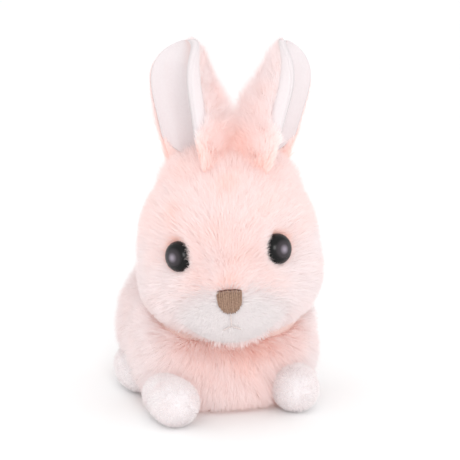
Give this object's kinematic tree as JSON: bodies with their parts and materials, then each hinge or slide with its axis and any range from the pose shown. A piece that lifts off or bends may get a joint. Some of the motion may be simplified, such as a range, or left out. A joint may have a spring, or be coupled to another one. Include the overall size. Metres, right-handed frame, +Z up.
{
  "type": "stuffed bunny rabbit",
  "caption": "Small crouching stuffed bunny of long pink fur with upright ears, white muzzle, paws and tail, glossy black eyes and a stitched nose.",
  "frame": {"origin": "on the belly's flat underside, in the body's middle plane, below the shoulders", "axes": "+Z up from the table to the ears, -Y forward from tail to chest, +X to the bunny's own left"},
  "size_m": [0.0852, 0.119, 0.149],
  "materials": {
    "pink_fur": "long soft pile",
    "white_plush": "short soft pile",
    "polyester_fibre": "loose fibre",
    "pellet_cotton": "plain weave",
    "brown_thread": "satin stitch",
    "eye_plastic": "glossy",
    "washer_plastic": "matte"
  },
  "bodies": {
    "body": {"body_side_left": "pink_fur", "body_side_right": "pink_fur", "belly_panel": "pink_fur", "body_stuffing": "polyester_fibre", "pellet_pouch": "pellet_cotton", "hind_foot_left_skin": "white_plush", "hind_foot_left_stuffing": "polyester_fibre", "hind_foot_right_skin": "white_plush", "hind_foot_right_stuffing": "polyester_fibre"},
    "head": {"head_gusset": "pink_fur", "head_side_left": "pink_fur", "head_side_right": "pink_fur", "head_stuffing": "polyester_fibre", "muzzle_left": "white_plush", "muzzle_right": "white_plush", "nose_embroidery": "brown_thread", "mouth_stitch_centre": "brown_thread", "mouth_stitch_left": "brown_thread", "mouth_stitch_right": "brown_thread", "eye_left": "eye_plastic", "eye_right": "eye_plastic", "eye_washer_left": "washer_plastic", "eye_washer_right": "washer_plastic"},
    "ear_left": {"ear_left_fur": "pink_fur", "ear_left_lining": "white_plush"},
    "ear_right": {"ear_right_fur": "pink_fur", "ear_right_lining": "white_plush"},
    "paw_left": {"front_paw_left_skin": "white_plush", "front_paw_left_stuffing": "polyester_fibre"},
    "paw_right": {"front_paw_right_skin": "white_plush", "front_paw_right_stuffing": "polyester_fibre"},
    "tail": {"tail_skin": "white_plush", "tail_stuffing": "polyester_fibre"}
  },
  "joints": [
    {"name": "head_turn", "type": "hinge", "parent": "body", "child": "head", "pos_m": [0, 0, 0.03804], "axis": [0, -0.4493, 0.8934], "range_deg": [-15, 45], "stiffness_Nm_per_rad": 0.2},
    {"name": "ear_left_fold", "type": "hinge", "parent": "head", "child": "ear_left", "pos_m": [0.0088, -0.00475, 0.10405], "axis": [0.9584, -0.2748, 0.0767], "range_deg": [-15, 15], "stiffness_Nm_per_rad": 0.02},
    {"name": "ear_right_fold", "type": "hinge", "parent": "head", "child": "ear_right", "pos_m": [-0.008, 0.00007, 0.1032], "axis": [0.9584, -0.2748, 0.0767], "range_deg": [-15, 15], "stiffness_Nm_per_rad": 0.02},
    {"name": "paw_left_lift", "type": "hinge", "parent": "body", "child": "paw_left", "pos_m": [0.02516, -0.00817, 0.0092], "axis": [-0.9781, 0.2079, 0], "range_deg": [0, 18], "stiffness_Nm_per_rad": 0.03},
    {"name": "paw_right_lift", "type": "hinge", "parent": "body", "child": "paw_right", "pos_m": [-0.03084, -0.01454, 0.0092], "axis": [-0.9945, -0.1045, 0], "range_deg": [0, 18], "stiffness_Nm_per_rad": 0.03},
    {"name": "tail_wag", "type": "hinge", "parent": "body", "child": "tail", "pos_m": [0, 0.061, 0.026], "axis": [0, 0, 1], "range_deg": [-15, 15], "stiffness_Nm_per_rad": 0.02}
  ]
}
